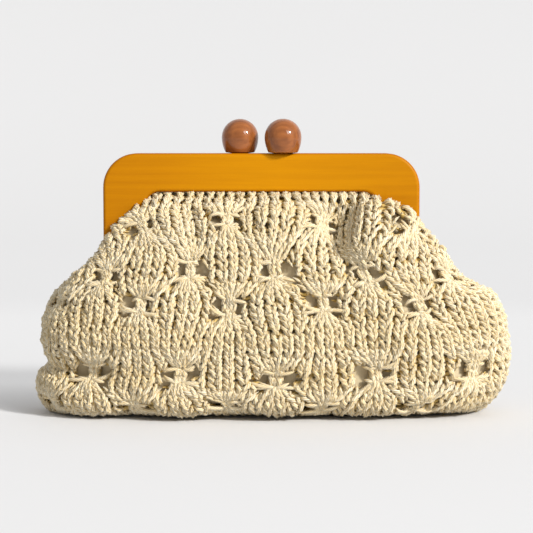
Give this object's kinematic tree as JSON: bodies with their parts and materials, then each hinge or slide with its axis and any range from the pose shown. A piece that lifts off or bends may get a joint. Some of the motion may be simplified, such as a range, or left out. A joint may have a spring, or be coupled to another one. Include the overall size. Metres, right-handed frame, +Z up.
{
  "type": "clutch purse",
  "caption": "Knitted raffia clutch purse on a hinged wooden frame that opens like a mouth, with ball knobs on top.",
  "frame": {"origin": "on the ground under the middle of the bag", "axes": "+X to the right along the frame, +Y to the rear, +Z up"},
  "size_m": [0.3056, 0.0916, 0.1924],
  "materials": {
    "varnished_wood": "satin honey varnish",
    "lacquered_ball": "gloss brown lacquer",
    "steel": "plain",
    "brass": "polished",
    "raffia_knit": "knitted twisted raffia",
    "cotton_lining": "plain woven cotton"
  },
  "bodies": {
    "bag": {"knit_body_lower": "raffia_knit", "lining_lower": "cotton_lining", "left_hinge_pin": "brass", "right_hinge_pin": "brass"},
    "front_half": {"front_half_frame": "varnished_wood", "front_ball_knob": "lacquered_ball", "front_knob_stud": "steel", "left_hinge_front_leaf": "brass", "right_hinge_front_leaf": "brass", "front_hinge_screws": "brass", "front_edge_screws": "brass", "front_magnets": "steel", "knit_front_upper": "raffia_knit", "lining_front_upper": "cotton_lining"},
    "rear_half": {"rear_half_frame": "varnished_wood", "rear_ball_knob": "lacquered_ball", "rear_knob_stud": "steel", "left_hinge_rear_leaf": "brass", "right_hinge_rear_leaf": "brass", "rear_hinge_screws": "brass", "rear_edge_screws": "brass", "rear_magnets": "steel", "knit_rear_upper": "raffia_knit", "lining_rear_upper": "cotton_lining"}
  },
  "joints": [
    {"name": "front_half_opens", "type": "hinge", "parent": "bag", "child": "front_half", "pos_m": [0, 0, 0.0765], "axis": [1, 0, 0], "range_deg": [0, 35], "deforming": ["knit_front_upper", "lining_front_upper"]},
    {"name": "rear_half_opens", "type": "hinge", "parent": "bag", "child": "rear_half", "pos_m": [0, 0, 0.0765], "axis": [1, 0, 0], "range_deg": [-35, 0], "deforming": ["knit_rear_upper", "lining_rear_upper"]}
  ],
  "couplings": [
    {"joint": "rear_half_opens", "follows": "front_half_opens", "ratio": -1}
  ]
}
